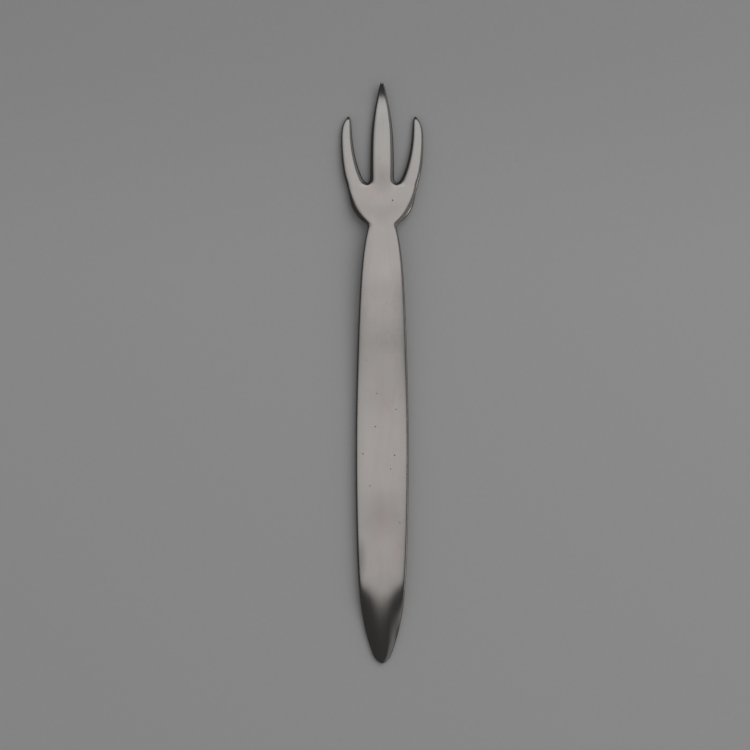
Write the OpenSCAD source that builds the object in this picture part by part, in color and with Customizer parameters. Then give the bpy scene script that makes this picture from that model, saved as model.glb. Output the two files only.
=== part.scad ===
// Oyster fork: one blank of stainless steel, with a leaf-shaped handle that ends in a rounded
// point, a narrow neck and three tines. It lies as it does on a table, face up: the handle rests
// along its flat underside, the neck is lifted, the head comes down again to touch the table,
// and the tines curl up. X runs across the fork and Y runs from the handle to the tines.
// The origin is under the middle of the fork, at table height.

/* [Handle] */
// Length of the handle, from its tip to the neck
handle_l = 113.7; // [102:0.1:126]
// Width of the handle at its widest
handle_w = 13.8; // [11:0.1:17]
// Thickness of the handle at its edges
handle_t = 2.5; // [2:0.1:3.2]
// Thickness at the tip of the handle
handle_tip_t = 1.1; // [0.8:0.05:1.8]
// Length over which the handle thins to its tip
handle_taper_l = 19; // [10:0.5:30]
// How much lower the edges lie than the middle where the tip of the handle is ground round
tip_dome_h = 0.5; // [0:0.05:0.6]
// Width of the neck
neck_w = 7.7; // [6.5:0.1:9.5]

/* [Head] */
// Length of the head, from the neck to the tip of the middle tine
head_l = 36.3; // [33:0.1:41]
// Width of the head over its outer tines
head_w = 21.3; // [19:0.1:24]
// Thickness of the head where the tines leave it
head_t = 2.3; // [1.8:0.1:3]
// Distance from the neck to the bottoms of the two gaps
root_l = 10.6; // [9:0.1:13]
// Width of a gap at its rounded bottom
gap_w = 1.7; // [1.2:0.05:2.2]

/* [Tines] */
// Width of the middle tine where it leaves the head
middle_tine_w = 6.1; // [5.2:0.1:7.2]
// Length of an outer tine, from the bottom of its gap to its tip
outer_tine_l = 17.2; // [15:0.1:20]
// How far the tip of an outer tine leans in from the side of the head
outer_tip_inset = 2; // [1.4:0.05:2.6]
// Thickness at the tips of the tines
tine_tip_t = 0.9; // [0.7:0.05:1.3]

/* [Bend] */
// Height of the neck above the table, at its highest
neck_lift = 1.9; // [0.8:0.1:4]
// Length over which the handle rises to that height
rise_l = 47; // [35:0.5:60]
// Distance from the highest place to the neck
crest_offset = 3.3; // [1.5:0.1:6]
// Length over which the head comes down to the table
fall_l = 13; // [9:0.1:14]
// Height of the middle tine's tip above the table
tine_lift = 1.7; // [0.5:0.1:4]

/* [Edges] */
// Radius of the rounded edges along the handle
edge_r = 0.85; // [0.4:0.05:1]
// Radius of the broader rounding on the shoulders
shoulder_r = 1.15; // [0.6:0.05:1.3]
// Radius of the rounded edges of the tines
tine_edge_r = 0.65; // [0.3:0.05:0.8]
// Radius of the rounding at the very tips
point_edge_r = 0.2; // [0.1:0.05:0.3]
// Height of the polished crown of the upper face above its edges
crown_h = 0.2; // [0:0.01:0.3]
// Distance from the edge over which the crown rolls off
crown_roll_w = 2; // [1:0.1:3]

/* [Hidden] */

// Places along the fork
overall_l = handle_l + head_l;
butt_y = -overall_l / 2;
tip_y = overall_l / 2;
neck_y = butt_y + handle_l;
gap_y = neck_y + root_l;
outer_tip_y = gap_y + outer_tine_l;
crest_y = neck_y - crest_offset;

// Places across the fork
flare_w = (head_w - neck_w) / 2;
gap_x = (middle_tine_w + gap_w) / 2;
gap_outer_x = middle_tine_w / 2 + gap_w;
outer_tip_x = head_w / 2 - outer_tip_inset;
middle_tine_l = tip_y - gap_y;

// Side of the handle: share of its length from the tip, share of its half width
handle_shares = [
    [0, 0], [0.004, 0.155], [0.015, 0.3], [0.033, 0.405], [0.07, 0.6], [0.106, 0.733],
    [0.143, 0.821], [0.198, 0.897], [0.29, 0.959], [0.435, 1], [0.563, 0.991],
    [0.71, 0.936], [0.838, 0.84], [0.911, 0.746], [0.966, 0.633]
];
// Side of a shoulder: share of the distance from the neck to the gaps, share of the flare
shoulder_shares = [
    [0, 0], [0.07, 0.125], [0.21, 0.37], [0.35, 0.555], [0.49, 0.643], [0.7, 0.715], [1, 0.822]
];
// Outer tine: share of its length, share of the flare that is still to come, share of the lean
// at its tip, and share of the way from the gap to the tip for its inner side
outer_tine_shares = [
    [0.03, 0.157, 0, 0.017], [0.09, 0.119, 0, 0.122], [0.21, 0.074, 0, 0.329],
    [0.39, 0.025, 0, 0.546], [0.57, 0, 0, 0.705], [0.75, 0, 0.03, 0.8],
    [0.88, 0, 0.275, 0.822], [0.955, 0, 0.66, 0.856]
];
// Side of the middle tine: share of its length, share of its half width
middle_tine_shares = [
    [0.022, 1.045], [0.07, 1], [0.235, 0.987], [0.385, 0.952], [0.51, 0.889], [0.63, 0.781],
    [0.75, 0.61], [0.87, 0.378], [0.935, 0.28], [0.975, 0.18], [1, 0]
];

// How finely the surface is divided
knot_steps = 2;
edge_steps = 3;
outer_columns = 3;
middle_columns = 4;

// An edge takes up at most these shares of the thickness and of the width of a tine
edge_thickness_share = 0.45;
edge_width_share = 0.5;
// The broad rounding of a shoulder is full at this share of the way from the neck to the gaps
shoulder_full_share = 0.2;
// The slope of the underside is measured over this share of the length
slope_share = 0.0005;
// The tines curl up by this power of the way to the tip of the middle one
curl_power = 6;
// Rounding of the handle's tip: share of the handle's length, share of its full height. Across
// the handle it goes by this power of the way to the side.
tip_dome_shares = [[0, 0.2], [0.026, 0.5], [0.07, 0.84], [0.123, 1], [0.148, 0.94], [0.2, 0]];
tip_dome_power = 3;

// Goes smoothly from 0 at a to 1 at b
function ramp(v, a, b) =
    let (u = max(0, min(1, (v - a) / (b - a))))
    u * u * (3 - 2 * u);

// Goes from 0 at a to 1 at b in a straight line
function share_between(v, a, b) = max(0, min(1, (v - a) / (b - a)));

function blend(a, b, share) = a + (b - a) * share;

// Height of the underside above the table
function underside(y) =
    neck_lift * (ramp(y, crest_y - rise_l, crest_y) - ramp(y, crest_y, crest_y + fall_l))
    + tine_lift * pow(share_between(y, gap_y, tip_y), curl_power);

// Angle at which the underside climbs towards the tines
function climb(y) =
    let (reach = overall_l * slope_share)
    atan((underside(y + reach) - underside(y - reach)) / (2 * reach));

// How much lower the edges lie than the middle at y
function dome(y) = tip_dome_h * lookup((y - butt_y) / handle_l, tip_dome_shares);

// Thickness between the edges at y, on a limb that ends at end_y
function thickness(y, end_y) =
    let (to_tip = 1 - share_between(y, butt_y, butt_y + handle_taper_l))
    let (handle = blend(handle_t, handle_tip_t, pow(to_tip, 2)) - dome(y))
    let (head = blend(handle, head_t, ramp(y, neck_y, gap_y)))
    blend(head, tine_tip_t, pow(share_between(y, gap_y, end_y), 1.5));

// Radius that the edges have where nothing limits them
function wanted_edge(y) =
    let (full_y = neck_y + root_l * shoulder_full_share)
    let (shoulder = ramp(y, neck_y, full_y) * (1 - ramp(y, full_y, gap_y)))
    let (plain = blend(edge_r, tine_edge_r, ramp(y, neck_y, gap_y)))
    blend(plain, shoulder_r, shoulder);

// Knots of the outline's right half, from the handle's tip round to the middle tine's tip
handle_knots = [for (s = handle_shares) [s[1] * handle_w / 2, butt_y + s[0] * handle_l]];
shoulder_knots = [for (s = shoulder_shares) [neck_w / 2 + s[1] * flare_w, neck_y + s[0] * root_l]];
outer_side_knots = [
    for (s = outer_tine_shares)
        [head_w / 2 - s[1] * flare_w - s[2] * outer_tip_inset, gap_y + s[0] * outer_tine_l]
];
inner_side_knots = [
    for (s = outer_tine_shares)
        [blend(gap_outer_x, outer_tip_x, s[3]), gap_y + s[0] * outer_tine_l]
];
middle_knots = [
    for (s = middle_tine_shares) [s[1] * middle_tine_w / 2, gap_y + s[0] * middle_tine_l]
];
right_knots = concat(
    handle_knots,
    shoulder_knots,
    outer_side_knots,
    [[outer_tip_x, outer_tip_y]],
    reversed(inner_side_knots),
    [[gap_x, gap_y]],
    middle_knots
);
left_knots = [for (i = [len(right_knots) - 2 : -1 : 1]) [-right_knots[i][0], right_knots[i][1]]];
knots = concat(right_knots, left_knots);
knot_count = len(knots);

function reversed(list) = [for (i = [len(list) - 1 : -1 : 0]) list[i]];

function knot(i) = knots[(i + knot_count) % knot_count];

// Direction of the outline at a knot, from the two chords that meet there
function knot_direction(i) =
    let (before = knot(i) - knot(i - 1))
    let (after = knot(i + 1) - knot(i))
    let (b = norm(before))
    let (a = norm(after))
    (before * a / b + after * b / a) / (a + b);

// Point on the smooth curve through the knots, a share u of the way past knot i
function curve_point(i, u) =
    let (reach = norm(knot(i + 1) - knot(i)))
    let (w = u * u * (3 - 2 * u))
    knot(i) * (1 - w) + knot(i + 1) * w
    + knot_direction(i) * reach * u * (1 - u) * (1 - u)
    - knot_direction(i + 1) * reach * u * u * (1 - u);

outline = [
    for (i = [0 : knot_count - 1])
        for (k = [0 : knot_steps - 1])
            curve_point(i, k / knot_steps)
];
outline_count = len(outline);

// Numbers of the outline points at which the right half changes limb
body_end = knot_steps * (len(handle_knots) + len(shoulder_knots) - 1);
outer_rows = knot_steps * (len(outer_side_knots) + 1);
gap_point = body_end + 2 * outer_rows;
middle_rows = knot_steps * len(middle_knots);
middle_tip_point = gap_point + middle_rows;

function mirrored(i) = (outline_count - i) % outline_count;

// Where the limb that outline point i lies on ends
function limb_end(i) =
    let (r = min(i, mirrored(i)))
    r > body_end && r < gap_point ? outer_tip_y : tip_y;

// Half the width of the tine at outline point i
function tine_half_width(i) =
    let (r = min(i, mirrored(i)))
    r > body_end && r < gap_point
        ? norm(outline[r] - outline[body_end + gap_point - r]) / 2
        : abs(outline[r][0]);

function outward(i) =
    let (along = outline[(i + 1) % outline_count] - outline[(i + outline_count - 1) % outline_count])
    [along[1], -along[0]] / norm(along);

function edge_radius(i) =
    let (y = outline[i][1])
    let (by_thickness = edge_thickness_share * thickness(y, limb_end(i)))
    let (by_width = point_edge_r + edge_width_share * tine_half_width(i))
    min(wanted_edge(y), by_thickness, by_width);

// Place of a point that lies over plan point p, at a height above the middle of the thickness
function bent(p, height, end_y) =
    let (angle = climb(p[1]))
    let (middle = underside(p[1]) + thickness(p[1], end_y) / 2)
    [p[0], p[1] - height * sin(angle), middle + height * cos(angle)];

// Rings round the outline, from the edge of the upper face down to that of the lower face
ring_count = 2 * edge_steps + 2;
function ring_side(ring) = ring <= edge_steps ? 1 : -1;
function ring_angle(ring) =
    90 * (ring <= edge_steps ? 1 - ring / edge_steps : (ring - edge_steps - 1) / edge_steps);

function ring_plan(ring, i) =
    outline[i] - outward(i) * edge_radius(i) * (1 - cos(ring_angle(ring)));

function ring_point(ring, i) =
    let (p = ring_plan(ring, i))
    let (r = edge_radius(i))
    let (flat = thickness(p[1], limb_end(i)) / 2 - r)
    bent(p, ring_side(ring) * (flat + r * sin(ring_angle(ring))), limb_end(i));

ring_points = [
    for (ring = [0 : ring_count - 1])
        for (i = [0 : outline_count - 1])
            ring_point(ring, i)
];

// The upper and the lower face are rows of points from side to side. A row's plan points are
// worked out from the ring points at its ends, and the crown lifts those of the upper face.
function ring_of(side) = side > 0 ? 0 : ring_count - 1;

function crown(distance) = crown_h * (1 - pow(1 - min(1, distance / crown_roll_w), 2));

function face_point(p, from, to, end_y, side) =
    let (to_edge = min(norm(p - from), norm(p - to)))
    let (off_middle = 1 - 2 * to_edge / norm(to - from))
    let (rounded = dome(p[1]) * (1 - pow(off_middle, tip_dome_power)))
    let (lift = side > 0 ? crown(to_edge) + rounded : 0)
    bent(p, side * thickness(p[1], end_y) / 2 + lift, end_y);

// Points between outline points a and b of one tine, without the ends
function tine_row(a, b, columns, side) =
    let (from = ring_plan(ring_of(side), a))
    let (to = ring_plan(ring_of(side), b))
    [
        for (c = [1 : columns - 1])
            face_point(blend(from, to, c / columns), from, to, limb_end(a), side)
    ];

// Share of the half width at which column c of a body row lies, in line with the tines
body_columns = 2 * outer_columns + middle_columns;
seam_share = gap_x / ring_plan(0, body_end)[0];
function column_share(c) =
    c > body_columns / 2 ? -column_share(body_columns - c)
    : c < outer_columns ? blend(-1, -seam_share, c / outer_columns)
    : blend(-seam_share, seam_share, (c - outer_columns) / middle_columns);

function body_row(i, side) =
    let (to = ring_plan(ring_of(side), i))
    let (from = [-to[0], to[1]])
    [
        for (c = [1 : body_columns - 1])
            face_point([to[0] * column_share(c), to[1]], from, to, tip_y, side)
    ];

// Ends of row k of each tine: left outer tine, middle tine, right outer tine
function left_from(k) = mirrored(body_end + k);
function left_to(k) = mirrored(gap_point - k);
function middle_from(k) = mirrored(gap_point + k);
function middle_to(k) = gap_point + k;
function right_from(k) = gap_point - k;
function right_to(k) = body_end + k;

function face_points(side) = concat(
    [for (i = [1 : body_end - 1]) each body_row(i, side)],
    [
        for (k = [0 : outer_rows - 1])
            each tine_row(left_from(k), left_to(k), outer_columns, side)
    ],
    [
        for (k = [0 : middle_rows - 1])
            each tine_row(middle_from(k), middle_to(k), middle_columns, side)
    ],
    [
        for (k = [0 : outer_rows - 1])
            each tine_row(right_from(k), right_to(k), outer_columns, side)
    ]
);
upper_points = face_points(1);
lower_points = face_points(-1);

// Numbers of the first point of each block of a face
body_block = 0;
left_block = body_block + (body_end - 1) * (body_columns - 1);
middle_block = left_block + outer_rows * (outer_columns - 1);
right_block = middle_block + middle_rows * (middle_columns - 1);

function face_start(side) = len(ring_points) + (side > 0 ? 0 : len(upper_points));
function ring_number(side, i) = ring_of(side) * outline_count + i;

// Point numbers of one row, from one end to the other
function numbered_row(a, b, columns, block, row, side) =
    let (first = face_start(side) + block + row * (columns - 1))
    concat(
        [ring_number(side, a)],
        [for (c = [0 : columns - 2]) first + c],
        [ring_number(side, b)]
    );

function left_row(k, side) =
    numbered_row(left_from(k), left_to(k), outer_columns, left_block, k, side);
function middle_row(k, side) =
    numbered_row(middle_from(k), middle_to(k), middle_columns, middle_block, k, side);
function right_row(k, side) =
    numbered_row(right_from(k), right_to(k), outer_columns, right_block, k, side);

function without_first(list) = [for (i = [1 : len(list) - 1]) list[i]];

// The last body row runs along the first rows of the three tines
function body_rows(side) = concat(
    [
        for (i = [1 : body_end - 1])
            numbered_row(mirrored(i), i, body_columns, body_block, i - 1, side)
    ],
    [concat(
        left_row(0, side),
        without_first(middle_row(0, side)),
        without_first(right_row(0, side))
    )]
);

// Triangles between neighbouring rows, seen from above in clockwise order
function between_rows(rows) = [
    for (r = [0 : len(rows) - 2])
        for (c = [0 : len(rows[r]) - 2])
            each [
                [rows[r][c], rows[r + 1][c], rows[r + 1][c + 1]],
                [rows[r][c], rows[r + 1][c + 1], rows[r][c + 1]]
            ]
];
function fan_above(row, point) = [for (c = [0 : len(row) - 2]) [row[c], point, row[c + 1]]];
function fan_below(row, point) = [for (c = [0 : len(row) - 2]) [row[c], row[c + 1], point]];

function tine_triangles(rows, tip) = concat(between_rows(rows), fan_above(rows[len(rows) - 1], tip));

function face_triangles(side) =
    let (body = body_rows(side))
    let (left = [for (k = [0 : outer_rows - 1]) left_row(k, side)])
    let (middle = [for (k = [0 : middle_rows - 1]) middle_row(k, side)])
    let (right = [for (k = [0 : outer_rows - 1]) right_row(k, side)])
    concat(
        between_rows(body),
        fan_below(body[0], ring_number(side, 0)),
        tine_triangles(left, ring_number(side, mirrored(body_end + outer_rows))),
        tine_triangles(middle, ring_number(side, middle_tip_point)),
        tine_triangles(right, ring_number(side, body_end + outer_rows))
    );

function flipped(triangles) = [for (t = triangles) [t[0], t[2], t[1]]];

edge_triangles = [
    for (ring = [0 : ring_count - 2])
        for (i = [0 : outline_count - 1])
            let (j = (i + 1) % outline_count)
            let (upper = ring * outline_count)
            let (lower = (ring + 1) * outline_count)
            each [
                [upper + i, upper + j, lower + i],
                [upper + j, lower + j, lower + i]
            ]
];

module finished_blank() {
    polyhedron(
        points = concat(ring_points, upper_points, lower_points),
        faces = concat(edge_triangles, face_triangles(1), flipped(face_triangles(-1))),
        convexity = 6
    );
}

// A block of space that holds the whole fork with room to spare
module surroundings() {
    translate([-head_w, -overall_l, -head_w])
        cube([2 * head_w, 2 * overall_l, 2 * head_w]);
}

// The fork keeps its shape in this intersection, and the triangles of its flat underside that
// lie in one plane become one face.
module fork() {
    color("silver")
        intersection() {
            finished_blank();
            surroundings();
        }
}

fork();
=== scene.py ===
import math
from collections import namedtuple

import bmesh
import bpy
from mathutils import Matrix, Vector


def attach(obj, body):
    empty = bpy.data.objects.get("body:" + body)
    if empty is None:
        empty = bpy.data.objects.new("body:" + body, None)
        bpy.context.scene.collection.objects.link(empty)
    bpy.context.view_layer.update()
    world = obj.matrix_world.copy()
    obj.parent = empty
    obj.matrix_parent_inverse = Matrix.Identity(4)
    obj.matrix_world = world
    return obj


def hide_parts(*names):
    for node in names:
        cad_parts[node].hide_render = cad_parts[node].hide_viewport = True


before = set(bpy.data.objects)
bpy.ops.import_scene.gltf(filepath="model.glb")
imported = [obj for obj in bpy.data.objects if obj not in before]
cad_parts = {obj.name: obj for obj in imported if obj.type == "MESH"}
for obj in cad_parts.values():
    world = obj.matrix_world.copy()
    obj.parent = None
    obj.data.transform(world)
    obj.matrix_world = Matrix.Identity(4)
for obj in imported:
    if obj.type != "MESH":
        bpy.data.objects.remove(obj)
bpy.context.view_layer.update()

# Oyster fork: one blank of satin stainless steel. It is modelled as a smith draws out a bar.
# The end of the blank is carried on from the tip of the handle to the head, and from there
# three ends go on as tines. The fork is made in millimetres and brought to metres at the end.
# Its pits, stains and painted patches of light and shade are placed in millimetres too. The paper,
# the room and the patterns of the steel are in metres.

# Sizes of the solid part
HANDLE_L = 113.7
HANDLE_W = 13.8
HANDLE_T = 2.5
HANDLE_TIP_T = 1.1
HANDLE_TAPER_L = 19
HANDLE_TAPER_POWER = 2
NECK_W = 7.7
HEAD_L = 36.3
HEAD_W = 21.3
HEAD_T = 2.3
ROOT_L = 10.6
GAP_W = 1.7
MIDDLE_TINE_W = 6.1
OUTER_TINE_L = 17.2
OUTER_TIP_INSET = 2
TINE_TIP_T = 0.9
TINE_TAPER_POWER = 1.5
NECK_LIFT = 1.9
RISE_L = 47
CREST_OFFSET = 3.3
FALL_L = 13
TINE_LIFT_POWER = 6
CROWN_H = 0.2
# The middle tine's tip is lifted 0.2 mm more than the solid's
TINE_LIFT = 1.9
# Noses of the outer tines, which the solid leaves out: their length, how much of the thickness
# they take off at the tip, and the power by which they do
NOSE_L = 0.9
NOSE_SHARE = 0.55
NOSE_POWER = 2

# Places along and across the fork
OVERALL_L = HANDLE_L + HEAD_L
BUTT_Y = -OVERALL_L / 2
TIP_Y = OVERALL_L / 2
NECK_Y = BUTT_Y + HANDLE_L
GAP_Y = NECK_Y + ROOT_L
OUTER_TIP_Y = GAP_Y + OUTER_TINE_L
CREST_Y = NECK_Y - CREST_OFFSET
MIDDLE_TINE_L = TIP_Y - GAP_Y
FLARE_W = (HEAD_W - NECK_W) / 2
GAP_OUTER_X = MIDDLE_TINE_W / 2 + GAP_W
OUTER_TIP_X = HEAD_W / 2 - OUTER_TIP_INSET

# Handle: share of its length from the tip, share of its half width
HANDLE_ROWS = [
    (0, 0.06), (0.004, 0.175), (0.015, 0.325), (0.033, 0.432), (0.055, 0.547), (0.08, 0.657),
    (0.108, 0.75), (0.134, 0.817), (0.156, 0.85), (0.178, 0.882), (0.205, 0.91), (0.26, 0.95),
    (0.33, 0.981), (0.42, 1.001), (0.51, 1.003), (0.6, 0.984), (0.69, 0.949), (0.77, 0.906),
    (0.838, 0.85), (0.875, 0.81), (0.911, 0.76), (0.94, 0.704), (0.966, 0.636), (0.987, 0.552),
]
# Shoulders: share of the way from the neck to the gaps, share of the flare
SHOULDER_ROWS = [
    (-0.045, -0.02), (0.025, 0.15), (0.1, 0.29), (0.185, 0.41), (0.34, 0.57), (0.49, 0.647),
    (0.7, 0.706), (0.82, 0.747), (0.92, 0.788), (1, 0.822),
]
# Outer tine: share of its length, its outer side and its inner side. The outer side is given by
# the share of the flare still to come and the share of the lean, the inner side by the share of
# the way from the gap to the tip.
OUTER_TINE_ROWS = [
    (0.09, 0.11, 0, 0.13), (0.21, 0.06, 0, 0.34),
    (0.39, 0.012, 0, 0.555), (0.57, -0.004, 0, 0.7), (0.75, -0.004, 0, 0.785),
    (0.88, 0, 0.22, 0.81), (0.955, 0, 0.65, 0.862), (0.985, 0, 0.86, 0.93),
    (1, 0, 0.93, 0.975),
]
# Middle tine: share of its length, share of its half width
MIDDLE_TINE_ROWS = [
    (0.07, 1.01), (0.235, 1.01), (0.385, 0.978), (0.51, 0.917), (0.63, 0.805),
    (0.75, 0.635), (0.81, 0.52), (0.87, 0.415), (0.935, 0.305), (0.975, 0.2), (1.001, 0.12),
]

# Cross section of the blank: places of its columns as shares of the half width, from the middle
# to the side. The inner ones carry the tines and the gaps. The roll and the band only start at
# their shares, and then keep the distances from the side that the table of edges gives.
COLUMNS = [0, 0.242, 0.323, 0.413, 0.503, 0.662, 0.841, 1]
CELLS = 2 * (len(COLUMNS) - 1)
GAP_INNER_COLUMN = 2
GAP_MIDDLE_COLUMN = 3
GAP_OUTER_COLUMN = 4
ROLL_COLUMN = 5
BAND_COLUMN = 6
RIM_COLUMN = 7

# Upper edges along the fork: place, how far in from the side the rounding and its steep last part
# begin, and how far below the crown the upper face lies at these two and at its rim
EDGES = [
    (BUTT_Y, 1.7, 0.4, 0.02, 0.1, 0.2),
    (BUTT_Y + 3, 1.2, 0.4, 0.02, 0.12, 0.25),
    (BUTT_Y + 11, 1.2, 0.4, 0.02, 0.12, 0.25),
    (BUTT_Y + 16, 1.4, 0.4, 0.02, 0.08, 0.19),
    (BUTT_Y + 21, 1.7, 0.5, 0.02, 0.08, 0.19),
    (BUTT_Y + 27, 2.3, 0.5, 0.03, 0.11, 0.22),
    (NECK_Y - 9, 2, 0.5, 0.03, 0.12, 0.23),
    (NECK_Y - 0.9, 1.3, 0.4, 0.02, 0.08, 0.24),
    (NECK_Y + 0.1, 1.6, 0.5, 0.02, 0.3, 0.64),
    (NECK_Y + 1.2, 1.8, 0.55, 0.02, 0.4, 0.8),
    (NECK_Y + 2.3, 1.75, 0.55, 0.02, 0.42, 0.84),
    (NECK_Y + 4.2, 1.7, 0.55, 0.02, 0.4, 0.8),
    (NECK_Y + 6.2, 1.35, 0.45, 0.01, 0.28, 0.6),
    (NECK_Y + 8.4, 1, 0.3, 0.01, 0.18, 0.46),
    (GAP_Y, 3.7, 0.72, 0, 0.06, 0.36),
]
# On a narrow section the rounding and its steep part take up at most these shares of half of it
ROLL_MOST_SHARE = 0.4
BAND_MOST_SHARE = 0.2

# Gaps: how far their lips are lowered, how far their corners and the points just before these
# move towards the tines, and how far their middles move towards the handle
GAP_LIP_DROP = 0.48
GAP_CORNER_RISE = 0.6
GAP_SHELF_RISE = 0.4
GAP_MIDDLE_DROP = 0.25

# The tip of the handle is ground round: place along the fork, and how much lower its edges lie
# there than its middle
TIP_DOME = [(BUTT_Y, 0.25), (BUTT_Y + 9.4, 0.85), (BUTT_Y + 20.8, 0), (TIP_Y, 0)]
TIP_DOME_POWER = 2

# Steel: linear colours of the handle, of the tines and of the light brown stains
STEEL = (0.592, 0.556, 0.53)
TINE_STEEL = (0.585, 0.566, 0.546)
STAIN = (0.6, 0.54, 0.522)
# Places in metres between which the handle's colour turns into that of the tines
TINE_FADE = (0.052, 0.066)
# Patterns of its surface: how fine they are, their detail and how far they are drawn out
PATTERNS = {
    "grain": {"scale": 2600, "detail": 3},
    "brushing": {"scale": 3800, "stretch": (1, 0.05, 1)},
    "clouds": {"scale": 55},
    "mottle": {"scale": 260, "detail": 3},
    "streaks": {"scale": 420, "stretch": (1, 0.2, 1)},
}
# How much each pattern makes the polish vary
SPREADS = {"clouds": 0.08, "streaks": 0.1, "mottle": 0.09, "grain": 0.1, "brushing": 0.06}
# How much pits and hair scratches add to the polish
MARK_GAINS = {"pits": -0.6, "hairs": 0.03}
# Hair scratches: how fine, turn and width of each kind. Then come the drawn-out clouds that they
# follow, the clouds in which they come and go, and the levels between which they do.
HAIRS = [(900, 0.12, 0.012), (700, -0.6, 0.01), (800, 0.9, 0.01)]
HAIR_PATTERN = {"detail": 1, "stretch": (1, 0.035, 1)}
HAIR_PATCHES = {"scale": 90, "detail": 1}
HAIR_PATCH_EDGE = (0.5, 0.62)
# Level in the middle of any clouds
MIDDLE_LEVEL = 0.5
# Roughness of the polish from the clearest to the cloudiest place, and what roughens it further
CLOUD_EDGE = (0.3, 0.7)
ROUGHNESS = (0.135, 0.165)
ROUGHER = {"mottle": 0.02, "hairs": 0.04, "pits": 0.3}
# Height in metres of each pattern's relief
RELIEF = {"grain": 1.2e-6, "brushing": 0.8e-6, "mottle": 5e-6, "hairs": -0.6e-6, "pits": -4e-5}
# Sides: painted shade that darkens the steel's colour where it stands steep, in place of the dark
# its sides mirror: how steep they are where they start to look darker and where they do so fully,
# and what share of their colour they keep
SIDE_SHADE_EDGE = (0.11, 0.36)
SIDE_SHADE_SHARE = 0.42
# Pits, which are full within this share of their reach: place, reach across and along, turn
PIT_CORE = 0.3
PITS = [
    (2.72, 44.65, 0.22, 0.2, 0), (3.63, -9.27, 0.2, 0.13, 0), (-1.68, -13.75, 0.22, 0.13, 0),
    (-4.92, -20.75, 0.24, 0.14, 0), (3.24, -21.13, 0.26, 0.12, 0.8), (-3.1, -29, 0.18, 0.12, 0),
    (-1.3, -5.2, 0.16, 0.1, 0.3), (2.2, -24.6, 0.16, 0.12, 0), (-4.1, 3.4, 0.12, 0.1, 0),
    (1.1, 18.2, 0.12, 0.09, 0.5), (4.6, -38.4, 0.14, 0.1, 1.1), (-0.7, 55.4, 0.11, 0.08, 0),
]
# Light brown stains: place, reach across and along
STAINS = [(3.8, -45.8, 1.8, 6), (1, -9.6, 3, 5), (-2.6, 46.5, 3, 3), (0.5, -38, 5, 9)]
# Painted reflections: lighter and darker patches of the steel's colour that stand in for the light
# it mirrors, with painted highlight crescents below the gaps and painted shade at the right of the
# handle's tip: place, reach across and along, gain
PAINTED_SHEEN_AND_SHADE = [
    (0, 69, 4, 5, 0.08), (0, 50.5, 4.5, 6, -0.17), (0, 39.8, 3, 3, -0.06), (1, 27, 9, 8, 0.07),
    (0, 15, 10, 9, 0.13), (2, 4.5, 9, 4, 0.05), (-1, -6, 9, 8, -0.03), (-0.5, -36, 8, 9, -0.13),
    (-5.4, -48, 1.8, 8, -0.27), (-4.3, 48.5, 2.8, 0.8, 0.14), (4.3, 48.5, 2.8, 0.8, 0.14),
    (5, 13, 2.5, 12, 0.1), (4.2, -68.3, 1.5, 6.5, -0.6),
]

# Round light overhead, as the steel shows it: the way to its middle, how far it reaches from
# there whatever the height, the shares of that reach between which it fades out, and its level.
# It is duller on the side away from the window.
LIGHT_CENTRE = (-0.03, 0.22, 0)
LIGHT_REACH = (0.42, 0.373, 1e6)
LIGHT_EDGE = (0.84, 1.07)
LIGHT_LEVEL = 0.58
LIGHT_DULL = (-0.44, -0.06)
LIGHT_DULL_SHARE = 0.4
# Dim room round it, which brightens towards a window
ROOM_LEVEL = 0.042
WINDOW_WAY = (1, 0.1, 0)
WINDOW_EDGE = (0.25, 0.65)
WINDOW_LEVEL = 0.19
# Small bright pane in that window, which gives the glint on the ground edge of a shoulder
GLINT_WAY = (0.92, -0.14, 0.36)
GLINT_REACH = (0.3, 0.16, 0.18)
GLINT_EDGE = (0.4, 1)
GLINT_LEVEL = 1.2
# Lamp and even sky that light the paper, and the level of what lies behind it
LAMP_PLACE = (0.42, 0.36, 0.8)
LAMP_SIZE = 1.1
LAMP_POWER = 4.1
SKY_LEVEL = 0.39
BACKDROP_LEVEL = 0.25

# Paper: the colours between which its pulp varies, near the handle and near the tines, where one
# pair turns into the other, and the floor's size in metres. The darker pair near the tines is
# painted shade, standing in for the light falling off towards the top.
PAPER_NEAR = ((0.358, 0.359, 0.357), (0.382, 0.383, 0.382))
PAPER_SHADED = ((0.312, 0.313, 0.312), (0.335, 0.336, 0.336))
PAPER_SHADE_FADE = (0.02, 0.1)
PAPER_ROUGHNESS = 0.9
PULP = {"scale": 900, "detail": 3}
FLOOR_W = 6

# Camera, straight above the table: its place, the width of the table that it sees, the width of
# its sensor in millimetres, and how near to it things still show
CAMERA_PLACE = (-0.00181, -0.00041, 0.6)
VIEW_W = 0.19425
SENSOR_W = 36
CLIP_START = 0.01

# Rounds of smoothing
SMOOTHING = 3
# A millimetre in metres
MM = 0.001
# Points closer than this count as at the same place, in millimetres or in half widths
NEAR = 0.01
# How far above the table the fork lies, in millimetres
AIR = 0.002

Section = namedtuple("Section", "left right y middle thickness")


def share_between(v, a, b):
    """Goes evenly from 0 at a to 1 at b."""
    return min(1, max(0, (v - a) / (b - a)))


def ramp(v, a, b):
    """Goes smoothly from 0 at a to 1 at b."""
    u = share_between(v, a, b)
    return u * u * (3 - 2 * u)


def between(a, b, share):
    return a + (b - a) * share


def underside(y):
    """Height of the underside above the table."""
    lift = ramp(y, CREST_Y - RISE_L, CREST_Y) - ramp(y, CREST_Y, CREST_Y + FALL_L)
    return NECK_LIFT * lift + TINE_LIFT * share_between(y, GAP_Y, TIP_Y) ** TINE_LIFT_POWER


def dome(y):
    """How much lower the edges lie than the middle where the tip of the handle is ground round."""
    return along(TIP_DOME, y)[0]


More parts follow.
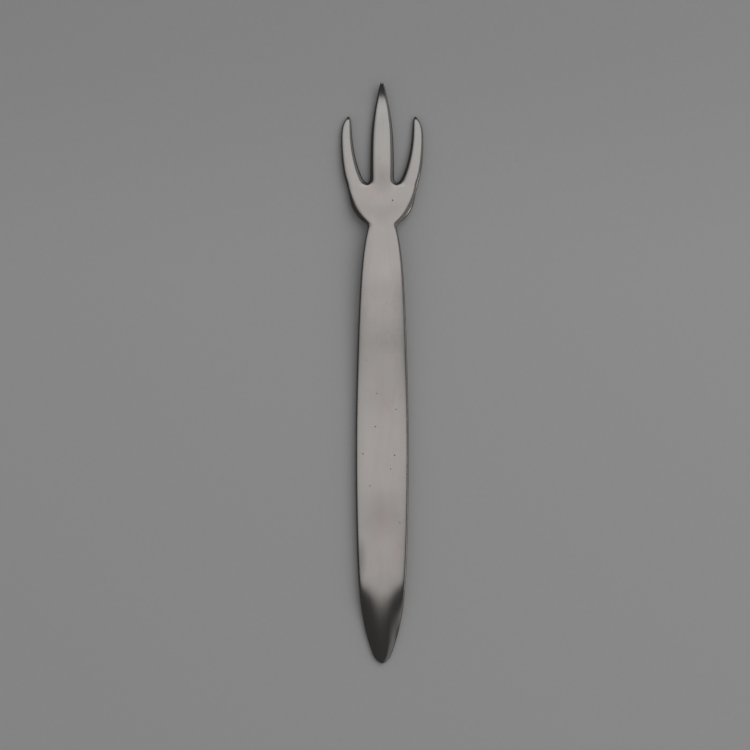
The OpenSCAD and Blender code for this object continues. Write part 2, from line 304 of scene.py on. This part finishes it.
def thickness(y, end_y):
    """Thickness of the edges at y, on a limb that ends at end_y."""
    to_tip = 1 - share_between(y, BUTT_Y, BUTT_Y + HANDLE_TAPER_L)
    handle = between(HANDLE_T, HANDLE_TIP_T, to_tip**HANDLE_TAPER_POWER) - dome(y)
    head = between(handle, HEAD_T, ramp(y, NECK_Y, GAP_Y))
    tine = between(head, TINE_TIP_T, share_between(y, GAP_Y, end_y) ** TINE_TAPER_POWER)
    nose = NOSE_SHARE if end_y == OUTER_TIP_Y else 0
    return tine * (1 - nose * share_between(y, end_y - NOSE_L, end_y) ** NOSE_POWER)


def section(left, right, y, end_y=TIP_Y):
    """A cross section between two sides at y, with the height of its middle and its thickness."""
    thick = thickness(y, end_y)
    return Section(left, right, y, underside(y) + thick / 2 + AIR, thick)


def centre_of(s):
    """Middle point of a section."""
    return Vector(((s.left + s.right) / 2, s.y, s.middle))


def along(rows, y):
    """Values of a table of places along the fork at y."""
    for low, high in zip(rows[:-1], rows[1:]):
        if y <= high[0]:
            share = ramp(y, low[0], high[0])
            return [between(a, b, share) for a, b in zip(low[1:], high[1:])]
    return rows[-1][1:]


def shares(s):
    """Place of each column as a share of the half width. Two of them keep to the rounded edges."""
    roll, band = along(EDGES, s.y)[:2]
    found = list(COLUMNS)
    found[ROLL_COLUMN] = 1 - min(roll / s.right, ROLL_MOST_SHARE)
    found[BAND_COLUMN] = 1 - min(band / s.right, BAND_MOST_SHARE)
    return found


def rises(s):
    """Height of each column of the upper face above the edges of a plain blank."""
    found = [CROWN_H + dome(s.y) * (1 - share**TIP_DOME_POWER) for share in shares(s)]
    for number, drop in zip((ROLL_COLUMN, BAND_COLUMN, RIM_COLUMN), along(EDGES, s.y)[2:]):
        found[number] -= drop
    return found


def points():
    mesh = bmesh.from_edit_mesh(bpy.context.object.data)
    mesh.verts.ensure_lookup_table()
    return mesh.verts


def pick(test):
    """Selects the points that pass the test, and the faces between them."""
    bpy.ops.mesh.select_all(action="DESELECT")
    mesh = bmesh.from_edit_mesh(bpy.context.object.data)
    for point in mesh.verts:
        if test(point):
            point.select_set(True)
    mesh.select_flush(True)
    bmesh.update_edit_mesh(bpy.context.object.data)


def picked():
    return {point.index for point in points() if point.select}


def upper_and_lower(ring):
    """Parts the points of an end, which has three in each column, into the top and bottom ones."""
    row = sorted((p for p in points() if p.index in ring), key=lambda p: p.co.x)
    columns = [sorted(row[n : n + 3], key=lambda p: p.co.z) for n in range(0, len(row), 3)]
    return {column[2].index for column in columns}, {column[0].index for column in columns}


def carry_on(old, new):
    """Draws the picked end out to its next place and gives it its size there, flat and upright."""
    centre = centre_of(new)
    bpy.ops.mesh.extrude_region_move(TRANSFORM_OT_translate={"value": centre - centre_of(old)})
    width = (new.right - new.left) / (old.right - old.left)
    bpy.ops.transform.resize(
        value=(width, 0, new.thickness / old.thickness), center_override=centre
    )


def start_blank(first):
    """Adds the blank's cross section, with three points in each column, at the handle's tip."""
    bpy.ops.mesh.primitive_grid_add(
        x_subdivisions=CELLS, y_subdivisions=2, size=2, rotation=(-math.pi / 2, 0, 0)
    )
    blank = bpy.context.object
    blank.name = "oyster_fork"
    bpy.ops.object.transform_apply(location=False, rotation=True, scale=True)
    bpy.ops.object.mode_set(mode="EDIT")
    last = len(COLUMNS) - 1
    for number in range(last - 1, 0, -1):
        even = number / last
        pick(lambda p: abs(abs(p.co.x) - even) < NEAR)
        bpy.ops.transform.resize(value=(COLUMNS[number] / even, 1, 1), center_override=(0, 0, 0))
    bpy.ops.mesh.select_all(action="SELECT")
    bpy.ops.transform.resize(
        value=(first.right, 1, first.thickness / 2), center_override=(0, 0, 0)
    )
    bpy.ops.transform.translate(value=centre_of(first))
    return blank


def set_columns(s, old_shares, old_rises):
    """Moves the columns of the picked end to their places across it and to their heights. The
    middle of each side goes half as far as its upper edge."""
    end = picked()
    upper, lower = upper_and_lower(end)
    near = NEAR * s.right
    for old, new in zip(old_shares[1:-1], shares(s)[1:-1]):
        pick(lambda p: p.index in end and abs(abs(p.co.x) - old * s.right) < near)
        bpy.ops.transform.resize(value=(new / old, 1, 1), center_override=centre_of(s))
    lifts = [new - old for new, old in zip(rises(s), old_rises)]
    for share, lift in zip(shares(s), lifts):
        pick(lambda p: p.index in upper and abs(abs(p.co.x) - share * s.right) < near)
        bpy.ops.transform.translate(value=(0, 0, lift))
    sides = end - upper - lower
    pick(lambda p: p.index in sides and s.right - abs(p.co.x) < near)
    bpy.ops.transform.translate(value=(0, 0, lifts[RIM_COLUMN] / 2))
    pick(lambda p: p.index in end)


def body_sections():
    rows = [
        section(-w * HANDLE_W / 2, w * HANDLE_W / 2, BUTT_Y + s * HANDLE_L) for s, w in HANDLE_ROWS
    ]
    for s, w in SHOULDER_ROWS:
        half = NECK_W / 2 + w * FLARE_W
        rows.append(section(-half, half, NECK_Y + s * ROOT_L))
    return rows


def middle_sections():
    half = MIDDLE_TINE_W / 2
    return [section(-w * half, w * half, GAP_Y + s * MIDDLE_TINE_L) for s, w in MIDDLE_TINE_ROWS]


def outer_sections(side):
    rows = []
    for s, flare, lean, inner in OUTER_TINE_ROWS:
        far = HEAD_W / 2 - flare * FLARE_W - lean * OUTER_TIP_INSET
        near = between(GAP_OUTER_X, OUTER_TIP_X, inner)
        left, right = sorted((side * near, side * far))
        rows.append(section(left, right, GAP_Y + s * OUTER_TINE_L, OUTER_TIP_Y))
    return rows


def draw_out(start, rows):
    for old, new in zip([start] + rows[:-1], rows):
        carry_on(old, new)


def forge_body(rows):
    """Draws the blank out from the tip of the handle to the bottoms of the gaps."""
    blank = start_blank(rows[0])
    set_columns(rows[0], COLUMNS, [0] * len(COLUMNS))
    for old, new in zip(rows[:-1], rows[1:]):
        carry_on(old, new)
        scaled = [rise * new.thickness / old.thickness for rise in rises(old)]
        set_columns(new, shares(old), scaled)
    return blank


def round_gaps(root, end):
    """Rounds the bottoms of the two gaps and lowers their lips. Returns the places of a gap's
    inner and outer corners across the fork."""
    inner, middle, outer = [
        COLUMNS[n] * root.right for n in (GAP_INNER_COLUMN, GAP_MIDDLE_COLUMN, GAP_OUTER_COLUMN)
    ]
    upper, _ = upper_and_lower(end)
    pick(lambda p: p.index in upper and inner - NEAR < abs(p.co.x) < outer + NEAR)
    bpy.ops.transform.translate(value=(0, 0, -GAP_LIP_DROP))
    pick(lambda p: p.index in end and abs(abs(p.co.x) - middle) < NEAR)
    bpy.ops.transform.translate(value=(0, -GAP_MIDDLE_DROP, 0))
    pick(
        lambda p: p.index in end
        and min(abs(abs(p.co.x) - inner), abs(abs(p.co.x) - outer)) < NEAR
    )
    bpy.ops.transform.translate(value=(0, GAP_CORNER_RISE, 0))
    return inner, outer


def shape_shelf(s):
    """Lets the last section before the gaps follow their round bottoms."""
    sides = [COLUMNS[n] * s.right for n in (GAP_INNER_COLUMN, GAP_OUTER_COLUMN)]
    pick(
        lambda p: abs(p.co.y - s.y) < GAP_MIDDLE_DROP
        and min(abs(abs(p.co.x) - x) for x in sides) < NEAR
    )
    bpy.ops.transform.translate(value=(0, GAP_SHELF_RISE, 0))


def forge_fork():
    """Draws out the whole fork, smooths it and brings it to metres."""
    body = body_sections()
    root = body[-1]
    blank = forge_body(body)
    inner, outer = round_gaps(root, picked())
    shape_shelf(body[-2])
    limbs = [
        (-root.right, -outer, outer_sections(-1)),
        (-inner, inner, middle_sections()),
        (outer, root.right, outer_sections(1)),
    ]
    for left, right, rows in limbs:
        pick(
            lambda p: -GAP_MIDDLE_DROP - NEAR < p.co.y - root.y < GAP_CORNER_RISE + NEAR
            and left - NEAR < p.co.x < right + NEAR
        )
        draw_out(root._replace(left=left, right=right), rows)

    bpy.ops.mesh.select_all(action="SELECT")
    bpy.ops.mesh.normals_make_consistent(inside=False)
    bpy.ops.transform.resize(value=(MM, MM, MM), center_override=(0, 0, 0))
    bpy.ops.object.mode_set(mode="OBJECT")
    smooth = blank.modifiers.new("smooth", "SUBSURF")
    smooth.levels = SMOOTHING
    smooth.render_levels = SMOOTHING
    bpy.ops.object.modifier_apply(modifier=smooth.name)
    bpy.ops.object.shade_smooth()
    mark_sides(blank)
    return blank


def mark_sides(fork):
    """Notes how steep the steel stands at each point, so that its steep sides can be given painted
    shade.
    """
    marks = fork.data.attributes.new("steepness", "FLOAT", "POINT")
    for point, mark in zip(fork.data.vertices, marks.data):
        mark.value = 1 - abs(point.normal.z)


def add_node(tree, kind, inputs=None, **settings):
    node = tree.nodes.new("ShaderNode" + kind)
    for name, value in settings.items():
        setattr(node, name, value)
    for name, value in (inputs or {}).items():
        if isinstance(value, bpy.types.NodeSocket):
            tree.links.new(value, node.inputs[name])
        else:
            node.inputs[name].default_value = value
    return node


def reckon(tree, operation, *values):
    return add_node(tree, "Math", dict(enumerate(values)), operation=operation).outputs[0]


def total(tree, values):
    found = values[0]
    for value in values[1:]:
        found = reckon(tree, "ADD", found, value)
    return found


def step(tree, value, a, b, low=0, high=1):
    """Goes smoothly from low at a to high at b."""
    ends = {"Value": value, "From Min": a, "From Max": b, "To Min": low, "To Max": high}
    return add_node(tree, "MapRange", ends, interpolation_type="SMOOTHSTEP").outputs[0]


def noise(tree, place, scale, detail=2, stretch=(1, 1, 1), turn=0):
    """Clouds about 1 / scale metres across, drawn out where the stretch is below 1."""
    if stretch != (1, 1, 1) or turn:
        turned = {"Vector": place, "Rotation": (0, 0, turn)}
        place = add_node(tree, "Mapping", turned).outputs[0]
        place = add_node(tree, "Mapping", {"Vector": place, "Scale": stretch}).outputs[0]
    return add_node(tree, "TexNoise", {"Vector": place, "Scale": scale, "Detail": detail}).outputs[0]


def spot(tree, place, x, y, wide, long, turn=0, core=0):
    """A soft-edged oval mark: 1 within the core's share of its reach, and 0 beyond its reach."""
    oval = {
        "Vector": place,
        "Location": (x * MM, y * MM, 0),
        "Rotation": (0, 0, turn),
        "Scale": (wide * MM, long * MM, 1),
    }
    inside = add_node(tree, "Mapping", oval, vector_type="TEXTURE").outputs[0]
    flat = add_node(tree, "VectorMath", {0: inside, 1: (1, 1, 0)}, operation="MULTIPLY").outputs[0]
    far = add_node(tree, "VectorMath", {0: flat}, operation="LENGTH").outputs["Value"]
    return step(tree, far, core, 1, 1, 0)


def scratches(tree, place, scale, turn, width):
    """Fine hair lines in one direction, here and there. They run where drawn-out clouds pass
    their middle level."""
    clouds = noise(tree, place, scale, turn=turn, **HAIR_PATTERN)
    off = reckon(tree, "ABSOLUTE", reckon(tree, "SUBTRACT", clouds, MIDDLE_LEVEL))
    line = step(tree, off, 0, width, 1, 0)
    patches = step(tree, noise(tree, place, **HAIR_PATCHES), *HAIR_PATCH_EDGE)
    return reckon(tree, "MULTIPLY", line, patches)


def mix_colours(tree, share, a, b):
    """Mixes two colours, each a plain one or one that comes from a node."""
    node = tree.nodes.new("ShaderNodeMix")
    node.data_type = "RGBA"
    tree.links.new(share, node.inputs["Factor"])
    for name, value in (("A", a), ("B", b)):
        socket = next(i for i in node.inputs if i.name == name and i.type == "RGBA")
        if isinstance(value, bpy.types.NodeSocket):
            tree.links.new(value, socket)
        else:
            socket.default_value = (*value, 1)
    return next(o for o in node.outputs if o.type == "RGBA")


def tone_and_painted_light(tree, place, marks):
    """What share of its colour the steel keeps at each place: random tone, pits and scratches,
    painted reflections in lighter and darker patches, and painted shade where it stands steep.
    """
    tone_and_shade = 1
    # Painted reflections: lighter and darker patches, highlight crescents below the gaps and shade
    # at the handle's tip
    for x, y, wide, long, gain in PAINTED_SHEEN_AND_SHADE:
        level = reckon(tree, "MULTIPLY", spot(tree, place, x, y, wide, long), gain)
        tone_and_shade = reckon(tree, "ADD", tone_and_shade, level)
    for name, spread in SPREADS.items():
        uneven = reckon(tree, "MULTIPLY_ADD", marks[name], spread, 1 - spread / 2)
        tone_and_shade = reckon(tree, "MULTIPLY", tone_and_shade, uneven)
    for name, gain in MARK_GAINS.items():
        tone_and_shade = reckon(tree, "MULTIPLY", tone_and_shade, reckon(tree, "MULTIPLY_ADD", marks[name], gain, 1))
    # Painted shade: the colour is darkened where the steel stands steep, in place of the dark its
    # sides mirror
    steepness = add_node(tree, "Attribute", attribute_name="steepness").outputs["Fac"]
    return reckon(tree, "MULTIPLY", tone_and_shade, step(tree, steepness, *SIDE_SHADE_EDGE, 1, SIDE_SHADE_SHARE))


def weighted(tree, marks, gains):
    """The marks that the table of gains names, each times its gain."""
    return [reckon(tree, "MULTIPLY", marks[name], gain) for name, gain in gains.items()]


def satin_steel():
    """Stainless steel with a satin polish, worn soft by use: fine grain, hair scratches, small pits
    and the light brown of heat. Lighter and darker patches of painted reflection, painted highlight
    crescents below the gaps and painted shade on its steep sides and at the handle's tip are in its
    colour."""
    material = bpy.data.materials.new("satin_steel")
    material.use_nodes = True
    tree = material.node_tree
    shader = tree.nodes["Principled BSDF"]
    place = tree.nodes.new("ShaderNodeTexCoord").outputs["Object"]

    marks = {name: noise(tree, place, **pattern) for name, pattern in PATTERNS.items()}
    marks["hairs"] = total(tree, [scratches(tree, place, *hair) for hair in HAIRS])
    marks["pits"] = total(tree, [spot(tree, place, *pit, PIT_CORE) for pit in PITS])
    stains = total(tree, [spot(tree, place, *stain) for stain in STAINS])

    along_fork = add_node(tree, "SeparateXYZ", {0: place}).outputs["Y"]
    steel = mix_colours(tree, step(tree, along_fork, *TINE_FADE), STEEL, TINE_STEEL)
    steel = mix_colours(tree, stains, steel, STAIN)
    tone_and_shade = tone_and_painted_light(tree, place, marks)
    level = add_node(tree, "CombineXYZ", {0: tone_and_shade, 1: tone_and_shade, 2: tone_and_shade}).outputs[0]
    colour = add_node(tree, "VectorMath", {0: steel, 1: level}, operation="MULTIPLY").outputs[0]
    tree.links.new(colour, shader.inputs["Base Color"])
    shader.inputs["Metallic"].default_value = 1

    cloudy = step(tree, marks["clouds"], *CLOUD_EDGE, *ROUGHNESS)
    rough = total(tree, [cloudy] + weighted(tree, marks, ROUGHER))
    tree.links.new(rough, shader.inputs["Roughness"])
    relief = total(tree, weighted(tree, marks, RELIEF))
    bump = add_node(tree, "Bump", {"Height": relief, "Distance": 1, "Strength": 1})
    tree.links.new(bump.outputs[0], shader.inputs["Normal"])
    return material


def paper():
    """Plain pale paper with the faint unevenness of its pulp, and painted shade that makes it a
    little darker towards the tines.
    """
    material = bpy.data.materials.new("pale_paper")
    material.use_nodes = True
    tree = material.node_tree
    shader = tree.nodes["Principled BSDF"]
    place = tree.nodes.new("ShaderNodeTexCoord").outputs["Object"]
    pulp = noise(tree, place, **PULP)
    near = mix_colours(tree, pulp, *PAPER_NEAR)
    # Painted shade: the paper is made darker towards the tines
    far = mix_colours(tree, pulp, *PAPER_SHADED)
    along_fork = add_node(tree, "SeparateXYZ", {0: place}).outputs["Y"]
    colour = mix_colours(tree, step(tree, along_fork, *PAPER_SHADE_FADE), near, far)
    tree.links.new(colour, shader.inputs["Base Color"])
    shader.inputs["Roughness"].default_value = PAPER_ROUGHNESS
    return material


def lay_floor():
    bpy.ops.mesh.primitive_plane_add(size=FLOOR_W)
    floor = bpy.context.object
    floor.name = "floor"
    floor.data.materials.append(paper())


def set_camera():
    bpy.ops.object.camera_add(location=CAMERA_PLACE, rotation=(0, 0, 0))
    camera = bpy.context.object
    camera.data.sensor_width = SENSOR_W
    camera.data.lens = SENSOR_W * CAMERA_PLACE[2] / VIEW_W
    camera.data.clip_start = CLIP_START
    bpy.context.scene.camera = camera


def far_from(tree, way, centre, reach):
    """How far a way lies from the centre of an oval of that reach, which counts as 1."""
    off = add_node(tree, "VectorMath", {0: way, 1: centre}, operation="SUBTRACT").outputs[0]
    off = add_node(tree, "VectorMath", {0: off, 1: reach}, operation="DIVIDE").outputs[0]
    return add_node(tree, "VectorMath", {0: off}, operation="LENGTH").outputs["Value"]


def light_room():
    """A dim room under one wide, round, soft-edged light. It brightens towards a window with a
    small bright pane. A lamp that the steel doesn't show, and an even sky, light the paper."""
    world = bpy.data.worlds.new("room")
    bpy.context.scene.world = world
    world.use_nodes = True
    tree = world.node_tree
    way = tree.nodes.new("ShaderNodeTexCoord").outputs["Generated"]
    far = far_from(tree, way, LIGHT_CENTRE, LIGHT_REACH)
    light = step(tree, far, *LIGHT_EDGE, LIGHT_LEVEL, 0)
    ways = {0: way, 1: WINDOW_WAY}
    east = add_node(tree, "VectorMath", ways, operation="DOT_PRODUCT").outputs["Value"]
    dull = step(tree, east, *LIGHT_DULL, LIGHT_DULL_SHARE, 1)
    light = reckon(tree, "MULTIPLY", light, dull)
    walls = step(tree, east, *WINDOW_EDGE, ROOM_LEVEL, WINDOW_LEVEL)
    from_pane = far_from(tree, way, GLINT_WAY, GLINT_REACH)
    glint = step(tree, from_pane, *GLINT_EDGE, GLINT_LEVEL, 0)
    room = total(tree, [light, walls, glint])
    path = tree.nodes.new("ShaderNodeLightPath")
    seen, soft = path.outputs["Is Camera Ray"], path.outputs["Is Diffuse Ray"]
    lit = add_node(tree, "MapRange", {"Value": soft, "To Min": room, "To Max": SKY_LEVEL}).outputs[0]
    shown = add_node(tree, "MapRange", {"Value": seen, "To Min": lit, "To Max": BACKDROP_LEVEL})
    back = tree.nodes["Background"]
    back.inputs["Color"].default_value = (1, 1, 1, 1)
    tree.links.new(shown.outputs[0], back.inputs["Strength"])

    bpy.ops.object.light_add(type="AREA", location=LAMP_PLACE)
    lamp = bpy.context.object
    lamp.data.shape = "DISK"
    lamp.data.size = LAMP_SIZE
    lamp.data.energy = LAMP_POWER
    lamp.visible_glossy = False
    lamp.rotation_mode = "QUATERNION"
    lamp.rotation_quaternion = lamp.location.to_track_quat("Z", "Y")


def main():
    bpy.ops.object.select_all(action="DESELECT")
    fork = forge_fork()
    fork.data.materials.append(satin_steel())
    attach(fork, "root")
    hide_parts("fork")
    bpy.ops.object.select_all(action="DESELECT")
    lay_floor()
    light_room()
    set_camera()
    bpy.context.scene.view_settings.view_transform = "Standard"


main()
